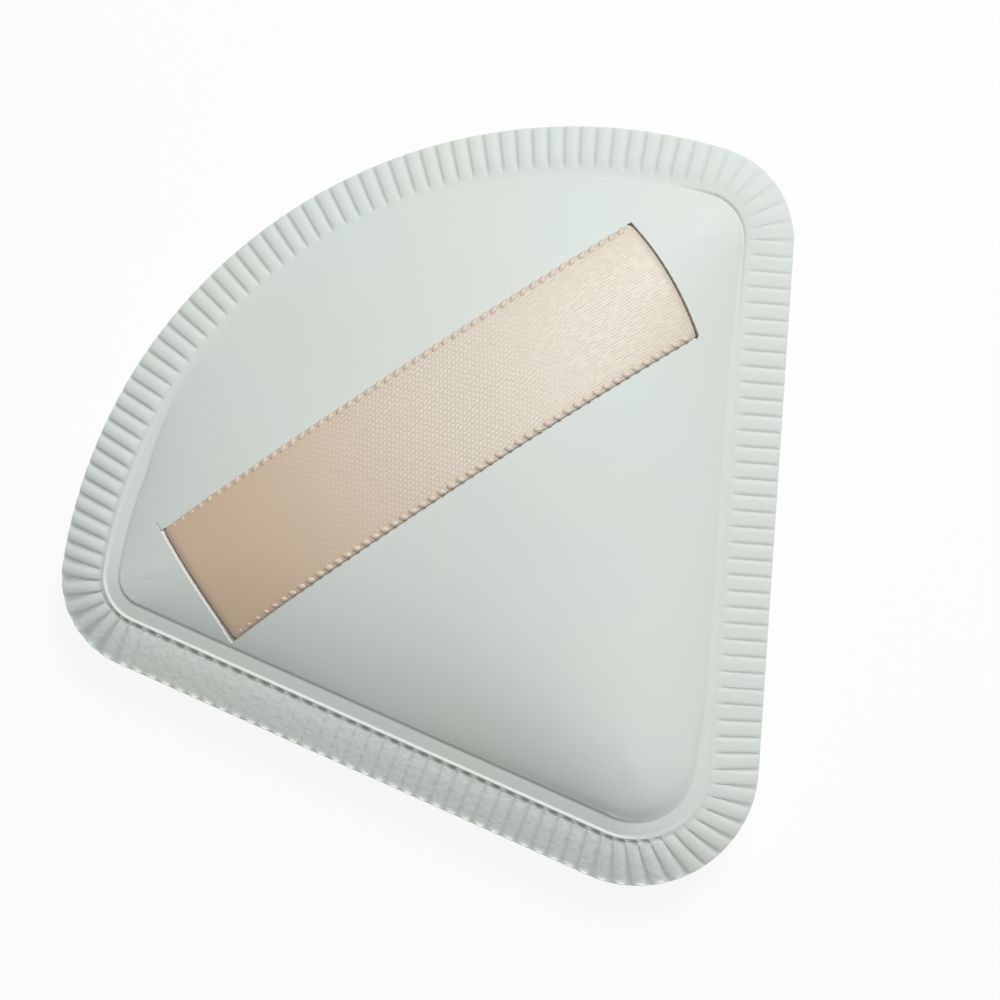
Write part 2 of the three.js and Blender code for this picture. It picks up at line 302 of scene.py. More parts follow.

# %% [markdown]
# ## Finishes
# The back is a matte synthetic sheet with a hint of mint, faint clouds of warmer tone and a grain
# finer than half a millimetre. Three attributes of the band, which its points get when they are bent
# round the fan, tell where the die pressed grooves and dashes, which get a painted shade of grey,
# where the chips at the edge get a painted white highlight, and where the sheet is left crinkled.
# The ribbon is a satin: threads that float along it and are tied down in slanting rows of dots. It
# is pressed smooth at its left end and pulled straight at its right end, where its dots fade into
# long floats, and from its middle on its colour is mixed towards a paler pearl, a painted sheen. The
# plush and the foam are creamier. The ribbon's patterns read its UV map in millimetres, and all
# others the object's own coordinates in metres, so a size is a size. Painted images could show all
# this too, but patterns made of nodes need no file and stay sharp close up.

# %% Cover sheet
MINT = (0.672, 0.733, 0.706, 1)
WARM_MINT = (0.682, 0.725, 0.675, 1)
PAINTED_SHADE_MINT = (0.33, 0.365, 0.35, 1)
PAINTED_SHADE_SHARE = 0.68
CHIP_HIGHLIGHT_WHITE = (0.96, 0.97, 0.94, 1)
CLOUD_SIZE = 14 * MM
CLOUD_STEP = (0.5, 0.25)
GRAIN_SIZE = 0.45 * MM
GRAIN_DEPTH = 0.008 * MM
GRAIN_STRENGTH = 0.5
PORE_SIZE = 0.12 * MM
PORE_SHARE = 0.35
CRINKLE_SIZE = 0.6 * MM
CRINKLE_SHARE = 27
SMOOTHEST = 0.55
SCUFF_SHARE = 0.16
SCUFF_SIZE = 9 * MM
SCUFF_TURN = 1.1
SCUFF_STRETCH = (1, 6, 1)
CUT_WHITE = (0.8, 0.8, 0.76, 1)


def make_cover_finish():
    finish = Finish("mint_sheet", specular_ior_level=0.35)
    where = finish.place()
    cloud = finish.noise(where, CLOUD_SIZE)
    sheet = finish.mix(cloud.above(*CLOUD_STEP), MINT, WARM_MINT)
    pressed_and_shade, chip_highlight, crinkled = map(finish.attribute, ("pressed_and_shade", "chip_highlight", "crinkled"))
    # Painted shade: grooves and dashes are darkened towards a grey mint, where shade falls in them.
    sheet = finish.mix(PAINTED_SHADE_SHARE * pressed_and_shade, sheet, PAINTED_SHADE_MINT)
    # Painted highlight: the chips at the edge are mixed towards white.
    finish.set(base_color=finish.mix(chip_highlight, sheet, CHIP_HIGHLIGHT_WHITE))
    grain = finish.noise(where, GRAIN_SIZE, detail=3)
    pores = PORE_SHARE * finish.noise(where, PORE_SIZE)
    crinkles = CRINKLE_SHARE * crinkled * finish.noise(where, CRINKLE_SIZE, detail=3)
    finish.bump(grain + pores + crinkles, GRAIN_DEPTH, GRAIN_STRENGTH)
    scuffs = finish.noise(finish.place(SCUFF_TURN, SCUFF_STRETCH), SCUFF_SIZE, detail=4)
    finish.set(roughness=SMOOTHEST + SCUFF_SHARE * scuffs)
    return finish.material


cover_finish = make_cover_finish()
cut_finish = Finish("cut_edge", base_color=CUT_WHITE, roughness=0.8).material
print("made", cover_finish.name, "and", cut_finish.name)

# %% Satin ribbon
BLUSH = (0.39, 0.26, 0.155, 1)
PALE_BLUSH = (0.565, 0.4, 0.255, 1)
PAINTED_SHEEN_PEARL = (0.69, 0.67, 0.595, 1)
PAINTED_SHEEN_GAP = (0.48, 0.46, 0.395, 1)
PAINTED_SHEEN_SHARE = 0.6
SELVEDGE_CREAM = (0.62, 0.51, 0.395, 1)
DOT_LENGTH = 0.5
DOT_WIDTH = 0.34
DOT_GAP = 0.14
DOT_MEAN = 0.55
DOT_SLANT = math.tan(math.radians(13))
FLOAT_LENGTH = 0.8
FLOAT_WIDTH = 0.27
FLOAT_GAP = 0.08
FLOAT_MEAN = 0.3
FLOAT_STEP = (0.46, 0.14)
FLOAT_WAVE = 0.3
ENDLESS = 100
UNEVENNESS = 0.34
UNEVEN_SIZE = 0.6
WORN_SIZE = 1.6
LEAST_WORN = 0.35
WORN_SHARE = 1.2
PRESSED_WEAVE = 0.06
OPEN_WEAVE = 0.75
OPEN_FROM = (-10, 10)
FLOATS_FROM = (11, 8)
PAINTED_SHEEN_FROM = (-8, 16)
SATIN_SMOOTHEST = 0.62
GAP_ROUGHNESS = 0.1
WEAVE_DEPTH = 0.03 * MM
WEAVE_STRENGTH = 0.4


def make_satin_finish():
    finish = Finish("blush_satin", ior=2.5)
    where = finish.node("ShaderNodeUVMap", {"uv_map": "weave"})
    along, across = (finish.node("ShaderNodeSeparateXYZ", {}, {0: where}, output=k) for k in (0, 1))
    uneven = UNEVENNESS * finish.noise(where, UNEVEN_SIZE)
    slanted = finish.spot(along + uneven, across + uneven - DOT_SLANT * along)
    dots = finish.bricks(slanted, DOT_LENGTH, DOT_WIDTH, DOT_GAP) - DOT_MEAN
    lines = finish.bricks(finish.spot(along, across + FLOAT_WAVE * uneven), ENDLESS, FLOAT_WIDTH, FLOAT_GAP)
    drawn_out = finish.spot(along / FLOAT_LENGTH, across / FLOAT_WIDTH)
    floats = lines * finish.noise(drawn_out, 1, detail=1).above(*FLOAT_STEP) - FLOAT_MEAN
    weave = dots + along.above(*FLOATS_FROM) * (floats - dots)
    worn = LEAST_WORN + WORN_SHARE * finish.noise(where, WORN_SIZE)
    contrast = PRESSED_WEAVE + OPEN_WEAVE * along.above(*OPEN_FROM) * worn
    gaps = 0.5 + contrast * weave
    blush = finish.mix(1 - gaps, BLUSH, PALE_BLUSH)
    # Painted sheen: from the middle towards the right end the colour is mixed towards a paler pearl, where
    # the satin catches the light.
    sheen_colour = finish.mix(1 - gaps, PAINTED_SHEEN_GAP, PAINTED_SHEEN_PEARL)
    finish.set(base_color=finish.mix(PAINTED_SHEEN_SHARE * along.above(*PAINTED_SHEEN_FROM), blush, sheen_colour))
    finish.set(roughness=SATIN_SMOOTHEST + GAP_ROUGHNESS * gaps)
    finish.bump(1 - gaps, WEAVE_DEPTH, WEAVE_STRENGTH)
    return finish.material


satin_finish = make_satin_finish()
selvedge_finish = Finish("selvedge", base_color=SELVEDGE_CREAM, roughness=0.6, ior=2).material
print("made", satin_finish.name, "and", selvedge_finish.name)

# %% Plush, foam and patches
CREAM = (0.9, 0.89, 0.85, 1)
SHADED_CREAM = (0.82, 0.81, 0.76, 1)
FOAM_YELLOW = (0.9, 0.86, 0.75, 1)
FOAM_PORE = (0.66, 0.6, 0.48, 1)
PATCH_GREY = (0.82, 0.82, 0.78, 1)
PATCH_THREAD = (0.7, 0.7, 0.66, 1)
SPOT_STEP = (0.5, 0.2)


def make_spotted_finish(name, plain, spots, size, depth, roughness=0.95, **shine):
    finish = Finish(name, roughness=roughness, **shine)
    speckle = finish.noise(finish.place(), size, detail=3)
    finish.set(base_color=finish.mix(speckle.above(*SPOT_STEP), spots, plain))
    finish.bump(speckle, depth)
    return finish.material


plush_finish = make_spotted_finish(
    "cream_plush", CREAM, SHADED_CREAM, size=0.35 * MM, depth=0.15 * MM, sheen_weight=0.3
)
foam_finish = make_spotted_finish(
    "foam_yellow", FOAM_YELLOW, FOAM_PORE, size=0.5 * MM, depth=0.2 * MM
)
patch_finish = make_spotted_finish(
    "patch_cloth", PATCH_GREY, PATCH_THREAD, size=0.2 * MM, depth=0.05 * MM, roughness=0.8
)
print("made", plush_finish.name, foam_finish.name, patch_finish.name)

# %% [markdown]
# ## The fan's edge
# The outline is a fan: a round tip, two straight sides, two round corners and a wide arc. Its
# weld band keeps one width all round, so every line of it is the outline moved inwards. Runs are
# measured along the middle of the ribbed band, because the ribs are evenly spaced there: they
# spread a little at the edge of each corner, as they do in the photo.

# %% Outline
SIDE_HALF_ANGLE = math.radians(35.2)
ARC_RADIUS = 47.3 * MM
ARC_CENTRE_FROM_POINT = 31.8 * MM
TIP_RADIUS = 11.1 * MM
CORNER_RADIUS = 8.7 * MM
BAND_MIDDLE = 2 * MM
ARC_SAMPLES = 400


def fan_arcs():
    """Centre, radius, first and last angle of each arc, anticlockwise from the tip."""
    across, along = math.sin(SIDE_HALF_ANGLE), math.cos(SIDE_HALF_ANGLE)
    tip = TIP_RADIUS / across
    low = CORNER_RADIUS / across
    drop = low - ARC_CENTRE_FROM_POINT
    reach = ARC_RADIUS - CORNER_RADIUS
    way = math.sqrt(reach**2 - (drop * across) ** 2) - drop * along
    corner = (way * across, low + way * along)
    turn = math.atan2(corner[1] - ARC_CENTRE_FROM_POINT, corner[0])
    half = math.pi / 2
    return [
        ((0, tip), TIP_RADIUS, -half, -SIDE_HALF_ANGLE),
        (corner, CORNER_RADIUS, -SIDE_HALF_ANGLE, turn),
        ((0, ARC_CENTRE_FROM_POINT), ARC_RADIUS, turn, math.pi - turn),
        ((-corner[0], corner[1]), CORNER_RADIUS, math.pi - turn, math.pi + SIDE_HALF_ANGLE),
        ((0, tip), TIP_RADIUS, math.pi + SIDE_HALF_ANGLE, math.pi + half),
    ]


fan_bottom = TIP_RADIUS / math.sin(SIDE_HALF_ANGLE) - TIP_RADIUS
fan_middle = (fan_bottom + ARC_CENTRE_FROM_POINT + ARC_RADIUS) / 2
line_angles, line_points = [], []
for centre, radius, first, last in fan_arcs():
    angles = np.linspace(first, last, ARC_SAMPLES)
    spokes = np.stack([np.cos(angles), np.sin(angles)], axis=1)
    line_angles.append(angles)
    line_points.append(np.array(centre) - (0, fan_middle) + (radius - BAND_MIDDLE) * spokes)
line_angles, line_points = np.concatenate(line_angles), np.concatenate(line_points)
steps = np.linalg.norm(np.diff(line_points, axis=0), axis=1)
line_runs = np.concatenate([[0], np.cumsum(steps)])
LINE_LENGTH = line_runs[-1]


def band_places(runs, depths):
    """Where runs along the band meet depths from the edge, and the edge's outward normals there."""
    runs = np.mod(runs, LINE_LENGTH)
    angles = np.interp(runs, line_runs, line_angles)
    normals = np.stack([np.cos(angles), np.sin(angles)], axis=1)
    middles = np.stack([np.interp(runs, line_runs, line_points[:, k]) for k in (0, 1)], axis=1)
    return middles + normals * (BAND_MIDDLE - depths)[:, None], normals


print("middle of the band in mm:", round(LINE_LENGTH / MM, 1))

# %% [markdown]
# ## Working in edit mode
# Operators act on whatever is selected, so each step first clears the selection, makes one piece
# active, and picks points or edges by where they are. These few helpers do that, as one would with
# a box select by hand.

# %% Edit helpers
def deselect():
    if bpy.context.object and bpy.context.object.mode != "OBJECT":
        bpy.ops.object.mode_set(mode="OBJECT")
    bpy.ops.object.select_all(action="DESELECT")


def take(*pieces):
    """Selects these pieces alone, and makes the first one active."""
    deselect()
    for piece in pieces:
        piece.select_set(True)
    bpy.context.view_layer.objects.active = pieces[0]


def edit(piece, kind="VERT"):
    take(piece)
    bpy.ops.object.mode_set(mode="EDIT")
    bpy.ops.mesh.select_mode(type=kind)
    bpy.ops.mesh.select_all(action="DESELECT")
    return bmesh.from_edit_mesh(piece.data)


def edit_all(piece, kind="VERT"):
    """Edits the piece with everything selected."""
    edit(piece, kind)
    bpy.ops.mesh.select_all(action="SELECT")


def select(parts, wanted):
    """Selects the points, edges or faces that pass a test."""
    for part in parts:
        part.select_set(bool(wanted(part)))


print("selecting is ready in mode:", bpy.context.mode)

# %% Point and modifier helpers
def points_of(piece):
    places = np.empty(len(piece.data.vertices) * 3)
    piece.data.vertices.foreach_get("co", places)
    return places.reshape(-1, 3)


def move_points(piece, places):
    piece.data.vertices.foreach_set("co", np.ascontiguousarray(places, dtype=np.float32).ravel())
    piece.data.update()


def apply(piece, kind, **settings):
    """Adds a modifier with its settings and applies it."""
    take(piece)
    modifier = piece.modifiers.new(kind.lower(), kind)
    for name, value in settings.items():
        setattr(modifier, name, value)
    bpy.ops.object.modifier_apply(modifier=modifier.name)


def bridge_open_edges(piece, wanted=lambda edge: True):
    """Bridges the two open loops whose edges pass a test."""
    shape = edit(piece, "EDGE")
    select(shape.edges, lambda edge: edge.is_boundary and wanted(edge))
    bpy.ops.mesh.bridge_edge_loops()
    bpy.ops.object.mode_set(mode="OBJECT")


print("corners of the floor:", len(points_of(floor)))

# %% [markdown]
# ## One rib of the weld band
# A heated die presses the two skins together and leaves ribs with narrow grooves between them. Along
# the tip and the left side it also left a fine bead and a ledge, and the pillow starts there with a
# steep foot. On the right the ribs run smoothly into the pillow. So the band has a few
# cross-sections with the same number of rows, each drawn from the edge inwards as a depth and a
# height in millimetres. A row of edges is extruded again and again along the fullest section, and
# the strip is arrayed once for each rib.

# %% Cross-sections
EDGE = (
    (0, 0), (0, 0.28), (0.06, 0.34), (0.27, 0.41), (0.55, 0.49), (1.3, 0.64), (2.2, 0.81), (3, 0.92)
)
DEEP_CREASE = (
    (3.4, 0.9), (3.72, 0.9), (3.76, 0.9), (4.0, 0.96), (4.14, 1.06), (4.26, 1.12),
    (4.5, 0.9), (4.64, 0.935), (5.6, 1.18), (5.78, 1.23), (5.86, 1.33), (5.98, 1.6),
)
SOFT_CREASE = (
    (3.4, 0.92), (3.7, 0.9), (3.78, 0.9), (4.02, 0.92), (4.14, 0.98), (4.26, 1),
    (4.5, 0.93), (4.66, 0.93), (5.4, 1.02), (5.6, 1.03), (5.72, 1.08), (5.86, 1.24),
)
FAINT_CREASE = (
    (3.4, 0.95), (3.6, 0.96), (3.8, 0.97), (4, 0.98), (4.2, 0.99), (4.28, 0.99),
    (4.36, 0.97), (4.44, 0.99), (4.6, 1.01), (4.8, 1.03), (4.95, 1.05), (5.05, 1.07),
)
BARE_CREASE = (
    (3.4, 0.92), (3.6, 0.92), (3.75, 0.92), (3.85, 0.92), (3.98, 0.92), (4.1, 0.92),
    (4.2, 0.91), (4.3, 0.87), (4.4, 0.74), (4.48, 0.68), (4.56, 0.74), (4.66, 0.9),
)
NO_CREASE = (
    (3.35, 0.915), (3.6, 0.9), (3.8, 0.885), (3.92, 0.88), (4.02, 0.878), (4.12, 0.878),
    (4.22, 0.88), (4.34, 0.89), (4.46, 0.9), (4.58, 0.92), (4.68, 0.94), (4.8, 0.965),
)
FULL_SECTION = EDGE + DEEP_CREASE
print("rows in each cross-section:", len(FULL_SECTION))

# %% Rib strip
RIB_COUNT = 144
RIB_PITCH = LINE_LENGTH / RIB_COUNT
TOUCHING = MM / 1000
COLUMNS = (0, 0.05, 0.11, 0.25, 0.5, 0.75, 0.89, 0.95, 1)


def make_strip(name):
    """The band laid straight: X is the run, Y the depth from the edge and Z the height."""
    deselect()
    bpy.ops.mesh.primitive_grid_add(
        x_subdivisions=len(COLUMNS) - 1,
        y_subdivisions=1,
        size=RIB_PITCH,
        location=(RIB_PITCH / 2, RIB_PITCH / 2, 0),
    )
    strip = bpy.context.object
    strip.name = name
    bpy.ops.object.transform_apply(location=True)
    shape = edit(strip)
    select(shape.verts, lambda point: point.co.y > RIB_PITCH / 2)
    bpy.ops.mesh.delete(type="VERT")
    shape = bmesh.from_edit_mesh(strip.data)
    row = sorted(shape.verts, key=lambda point: point.co.x)
    for point, share in zip(row, COLUMNS):
        point.co.x = share * RIB_PITCH
    bpy.ops.mesh.select_all(action="SELECT")
    for before, after in zip(FULL_SECTION, FULL_SECTION[1:]):
        step = (0, (after[0] - before[0]) * MM, (after[1] - before[1]) * MM)
        bpy.ops.mesh.extrude_region_move(TRANSFORM_OT_translate={"value": step})
    bpy.ops.object.mode_set(mode="OBJECT")
    thin_borders(strip)
    apply(
        strip,
        "ARRAY",
        count=RIB_COUNT,
        use_relative_offset=False,
        use_constant_offset=True,
        constant_offset_displace=(RIB_PITCH, 0, 0),
        use_merge_vertices=True,
        merge_threshold=TOUCHING,
    )
    return strip


def thin_borders(strip):
    """Drops every other point of the first and last row, to match the pillow's coarser edge."""
    shape = edit(strip)
    odd = [COLUMNS[k] * RIB_PITCH for k in range(1, len(COLUMNS), 2)]
    last = FULL_SECTION[-1][0] * MM

    def spare(point):
        at_odd = min(abs(point.co.x - x) for x in odd) < TOUCHING
        first_row = max(abs(point.co.y), abs(point.co.z)) < TOUCHING
        return at_odd and (first_row or abs(point.co.y - last) < TOUCHING)

    select(shape.verts, spare)
    bpy.ops.mesh.dissolve_verts()
    bpy.ops.object.mode_set(mode="OBJECT")


cover_band = make_strip("cover_band")
print("strip points:", len(cover_band.data.vertices), "pitch in mm:", round(RIB_PITCH / MM, 3))

# %% [markdown]
# ## The band bent round the fan
# A Curve modifier could bend the strip, but the band changes on the way round. So the straight
# strip's own coordinates are read as a run and a row. The run finds its place between two stations,
# which say how deep and how wide the grooves are, how far the ribs lean, how far the band droops and
# how strongly the die marked it, with chips at the edge, dashes at the bead and crinkles between.
# Each point is then set where its depth and height lie on the fan.

# %% Stations along the band
class Station(NamedTuple):
    """The band at one run. Run, groove and marks are in mm, droop is in degrees, the rest are shares."""

    run: float
    crease: tuple
    groove: float
    wideness: float
    marks: float
    droop: float
    lean: float
    fullness: float


TIP_STATION = Station(0, SOFT_CREASE, 0.2, 0.5, 0, 8, -0.22, 0.7)
WELD_STATIONS = (
    # run, crease, groove, wideness, marks, droop, lean, fullness
    TIP_STATION,
    Station(7, SOFT_CREASE, 0.17, 0.3, 0, 3, -0.1, 0.8),
    Station(15, FAINT_CREASE, 0.13, 0.1, 0, 0, 0, 0.95),
    Station(45, FAINT_CREASE, 0.12, 0.1, 0, 0, 0, 0.95),
    Station(57, BARE_CREASE, 0.07, 0.1, 0, 0, 0, 0.95),
    Station(64.5, BARE_CREASE, 0.1, 0.3, 0, 0, 0, 0.95),
    Station(69, NO_CREASE, 0.15, 0.4, 0, 0, 0, 1.05),
    Station(76, NO_CREASE, 0.16, 0.5, 0, 0, 0, 1.25),
    Station(116, NO_CREASE, 0.2, 0.5, 0, 0, 0, 1.25),
    Station(125, NO_CREASE, 0.22, 0.5, 0, 0, 0, 1.05),
    Station(133, SOFT_CREASE, 0.25, 0.6, 0, 2, 0.15, 0.95),
    Station(139.5, SOFT_CREASE, 0.25, 0.8, 0, 4, 0.2, 0.93),
    Station(146, DEEP_CREASE, 0.25, 0.8, 0, 7, 0.1, 0.95),
    Station(150.5, DEEP_CREASE, 0.24, 1, 0.3, 10.5, 0, 0.96),
    Station(155, DEEP_CREASE, 0.03, 0.5, 0.34, 12.5, 0, 0.97),
    Station(168, DEEP_CREASE, 0.05, 0.3, 0.34, 12.5, 0, 0.97),
    Station(178, DEEP_CREASE, 0.13, 0.3, 0.34, 12.5, 0, 0.95),
    Station(192, DEEP_CREASE, 0.17, 0.4, 0.34, 12.5, 0, 0.84),
    Station(201, DEEP_CREASE, 0.16, 0.8, 0.32, 12, -0.15, 0.74),
    Station(205.5, SOFT_CREASE, 0.19, 0.6, 0.3, 10.5, -0.2, 0.71),
    TIP_STATION._replace(run=LINE_LENGTH / MM),
)
print("stations along the band:", len(WELD_STATIONS))

# %% Between the stations
WELD_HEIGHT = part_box("back_cover")[0].z

station_runs = np.array([station.run for station in WELD_STATIONS]) * MM
station_sections = np.array([EDGE + station.crease for station in WELD_STATIONS]) * MM


def band_value(runs, name):
    """One of the stations' values at runs between them."""
    values = [getattr(station, name) for station in WELD_STATIONS]
    return np.interp(np.mod(runs, LINE_LENGTH), station_runs, values)


def weld_section(runs, rows):
    """Depth and height of points at these runs, each on its row of the cross-section."""
    runs = np.mod(runs, LINE_LENGTH)
    depths, heights = np.empty(len(runs)), np.empty(len(runs))
    for row in np.unique(rows):
        here = rows == row
        depths[here] = np.interp(runs[here], station_runs, station_sections[:, row, 0])
        heights[here] = np.interp(runs[here], station_runs, station_sections[:, row, 1])
    return depths, heights


def leaning(runs, depths):
    """How far along the run a point moves where the ribs lean."""
    return band_value(runs, "lean") * (depths - BAND_MIDDLE)


print("weld height in mm:", round(WELD_HEIGHT / MM, 2))

# %% Grooves and marks
def rows_of(*shares):
    """A share for each row of the cross-section, 0 where none is given."""
    return np.array(shares + (0,) * (len(FULL_SECTION) - len(shares)))


NARROW_GROOVE = (1, 0.8, 0.06, 0, 0, 0, 0.06, 0.8, 1)
WIDE_GROOVE = (1, 1, 0.85, 0.05, 0, 0.05, 0.85, 1, 1)
CHIP = (0, 0, 0, 0.5, 1, 0.8, 0.1, 0, 0)
DASH = (0.15, 0, 0, 0.25, 1, 1, 0.6, 0.3, 0.15)
RIB_HALF = 0.5 - COLUMNS[2]
RIB_HALF_MOST = 0.47
GROOVE_ROWS = rows_of(0, 0.3, 0.6, 0.95, 1, 1, 1, 1, 1, 0.6, 0.45, 0.15)
CHIP_ROWS = rows_of(0, 0.4, 0.55, -0.1, -0.2)
DASH_ROWS = rows_of(0, 0, 0, 0, 0, 0, 0, 0, 0, 0, 0.8, 0.9, 0.3)


def across_rib(runs, shape):
    """A shape drawn over one rib's columns, at runs on any rib."""
    return np.interp(np.mod(runs / RIB_PITCH, 1), COLUMNS, shape)


def grooves_at(runs, rows):
    """How deep the grooves between the ribs are."""
    narrow, wide = across_rib(runs, NARROW_GROOVE), across_rib(runs, WIDE_GROOVE)
    shape = narrow + band_value(runs, "wideness") * (wide - narrow)
    return band_value(runs, "groove") * MM * shape * GROOVE_ROWS[rows]


def marks_at(runs, rows, shape, shape_rows):
    """How far the chips stand up at the edge, or how deep the dashes are beside the bead."""
    return band_value(runs, "marks") * MM * shape_rows[rows] * across_rib(runs, shape)


def widening(runs, depths):
    """How far along the run a point moves so that the ribs keep one width and the grooves widen."""
    ends = [np.mod(runs + side * RIB_PITCH / 2, LINE_LENGTH) for side in (-1, 1)]
    first, last = (np.interp(end, line_runs, line_angles) for end in ends)
    spread = 1 + np.maximum(last - first, 0) / RIB_PITCH * (BAND_MIDDLE - depths)
    from_rib = np.mod(runs / RIB_PITCH, 1) - 0.5
    half = np.minimum(RIB_HALF / spread, RIB_HALF_MOST)
    moved = np.interp(np.abs(from_rib) / 0.5, (0, 2 * RIB_HALF, 1), (0, 1, 2))
    on_rib = np.minimum(moved, 1) * half
    in_groove = np.maximum(moved - 1, 0) * (0.5 - half)
    return (np.sign(from_rib) * (on_rib + in_groove) - from_rib) * RIB_PITCH


print("deepest groove in mm:", max(station.groove for station in WELD_STATIONS))

# %% Bend
RIB_ROWS = 12
DROOP_FROM = 5.4 * MM
FULL_SHADE = 0.3 * MM
SHADE_POWER = 1.5
FULL_CHIP = 0.12 * MM
MOST_MARKS = max(station.marks for station in WELD_STATIONS)


def keep_values(piece, name, values):
    """Keeps a value at each point, for a finish to read."""
    kept = piece.data.attributes.new(name, "FLOAT", "POINT")
    kept.data.foreach_set("value", values)


def bend_strip(strip, upwards, height_of=None, groove_share=1):
    """Sets the strip round the fan. height_of gives other heights, from the depths."""
    places = points_of(strip)
    runs = places[:, 0].copy()
    drawn = np.array(FULL_SECTION) * MM
    rows = np.abs(places[:, None, 1:] - drawn).sum(axis=2).argmin(axis=1)
    depths, heights = weld_section(runs, rows)
    pressed_and_shade = groove_share * grooves_at(runs, rows)
    if height_of:
        heights = np.where(rows == 0, 0, height_of(depths))
    else:
        chips = marks_at(runs, rows, CHIP, CHIP_ROWS)
        heights += chips
        # Each chip's height also sets how much painted white highlight it gets.
        keep_values(strip, "chip_highlight", np.clip(chips / FULL_CHIP, 0, 1))
        pressed_and_shade += marks_at(runs, rows, DASH, DASH_ROWS)
    heights -= pressed_and_shade
    droop = np.tan(np.radians(band_value(runs, "droop"))) * np.maximum(DROOP_FROM - depths, 0)
    wider = np.where(rows < RIB_ROWS, widening(runs, depths), 0)
    flat, _ = band_places(runs + wider + leaning(runs, depths), depths)
    move_points(strip, np.column_stack([flat, WELD_HEIGHT + upwards * heights - droop]))
    # How deep the grooves and dashes are also sets how much painted shade they get.
    keep_values(strip, "pressed_and_shade", np.minimum(pressed_and_shade / FULL_SHADE, 1) ** SHADE_POWER)
    keep_values(strip, "crinkled", np.where(rows < RIB_ROWS, band_value(runs, "marks") / MOST_MARKS, 0))
    edit_all(strip)
    bpy.ops.mesh.remove_doubles(threshold=TOUCHING)
    bpy.ops.object.mode_set(mode="OBJECT")


def copy_piece(piece, name):
    copy = piece.copy()
    copy.data = piece.data.copy()
    copy.name = name
    bpy.context.collection.objects.link(copy)
    return copy


face_band = copy_piece(cover_band, "face_band")
bend_strip(cover_band, 1)
print("band points:", len(cover_band.data.vertices))

# %% [markdown]
# ## The pillow
# Inside the crease the skins bulge over the foam. A dome could be sculpted, but a cushion like this is
# best blown up: a flat patch with its border pinned is simulated as cloth under pressure, with
# gravity off, and the result is applied. The solver works at the scale of clothes, so the patch is
# simulated many times its size and taken back. It is a circle laid on the crease and filled with a
# grid, which gives the cloth even quads. The foam pushes the shoulders out more along the left side
# than along the arc, so the shares of the height get a power that the nearest stations give.

# %% Flat patch
PATCH_SPAN = RIB_COUNT // 4
CREASE_GAP = 0.04 * MM
BORDER_BLUR = 0.1 * MM
NEARNESS_POWER = 3
LAST_ROW = len(FULL_SECTION) - 1

border_runs = np.arange(RIB_COUNT) * RIB_PITCH
crease_depths, crease_heights = weld_section(border_runs, np.full(RIB_COUNT, LAST_ROW))


def make_patch():
    deselect()
    bpy.ops.mesh.primitive_circle_add(vertices=RIB_COUNT, radius=ARC_RADIUS, fill_type="NOTHING")
    patch = bpy.context.object
    patch.name = "pillow_patch"
    depths = crease_depths + CREASE_GAP
    border, _ = band_places(border_runs + leaning(border_runs, depths), depths)
    move_points(patch, np.column_stack([border, np.zeros(RIB_COUNT)]))
    edit_all(patch, "EDGE")
    bpy.ops.mesh.fill_grid(span=PATCH_SPAN)
    bpy.ops.mesh.select_all(action="SELECT")
    bpy.ops.mesh.subdivide(number_cuts=1)
    bpy.ops.mesh.normals_make_consistent(inside=False)
    bpy.ops.object.mode_set(mode="OBJECT")
    return patch


def from_border(places, values):
    """Values given round the border, spread smoothly over places inside it."""
    away = np.linalg.norm(places[:, None, :2] - patch_border, axis=2)
    weights = (away + BORDER_BLUR) ** -NEARNESS_POWER
    return weights @ values / weights.sum(axis=1)


patch = make_patch()
patch_border = points_of(patch)[:RIB_COUNT, :2]
print("patch points:", len(patch.data.vertices), "faces:", len(patch.data.polygons))

# %% Blow it up
CLOTH_SCALE = 15
CLOTH_PRESSURE = 4
CLOTH_FRAMES = 20
CLOTH_QUALITY = 6
START_RISE = 3 * MM


def open_points(piece):
    """Indices of the points on the piece's open border."""
    shape = edit(piece)
    border = [point.index for point in shape.verts if point.is_boundary]
    bpy.ops.object.mode_set(mode="OBJECT")
    return border


def blow_up(patch):
    """Cloth pressure lifts the patch. Heights come back as shares of the highest point."""
    border = open_points(patch)
    places = points_of(patch)
    rim = places[border][:, :2]
    reach = np.array([np.linalg.norm(rim - spot, axis=1).min() for spot in places[:, :2]])
    places[:, 2] = START_RISE * (1 - (1 - reach / reach.max()) ** 2)
    move_points(patch, places * CLOTH_SCALE)
    pinned = patch.vertex_groups.new(name="crease")
    pinned.add(border, 1, "ADD")
    take(patch)
    cloth = patch.modifiers.new("pillow", "CLOTH")
    cloth.settings.quality = CLOTH_QUALITY
    cloth.settings.vertex_group_mass = pinned.name
    cloth.settings.use_pressure = True
    cloth.settings.uniform_pressure_force = CLOTH_PRESSURE
    cloth.settings.effector_weights.gravity = 0
    cloth.point_cache.frame_end = CLOTH_FRAMES
    for step in range(1, CLOTH_FRAMES + 1):
        bpy.context.scene.frame_set(step)
    bpy.ops.object.modifier_apply(modifier=cloth.name)
    bpy.context.scene.frame_set(1)
    places = points_of(patch) / CLOTH_SCALE
    shares = np.clip(places[:, 2] / places[:, 2].max(), 0, 1)
    places[:, 2] = shares ** from_border(places, band_value(border_runs, "fullness"))
    move_points(patch, places)


blow_up(patch)
print("patch width in mm:", round(np.ptp(points_of(patch)[:, 0]) / MM, 2))

# %% [markdown]
# ## The back cover
# The cover is one closed sheet: the ribbed band and the pillow outside, and a plain inner face.
# The patch gets one level of subdivision, so that its border has four points for each rib, as the
# band's inner row has. Open borders are bridged: crease to pillow, and edge to inner face.

# %% Raise and sew
NEAR_CREASE = 1 * MM
BACK_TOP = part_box("back_cover")[1].z - WELD_HEIGHT
INNER_FOOT = 0.05 * MM


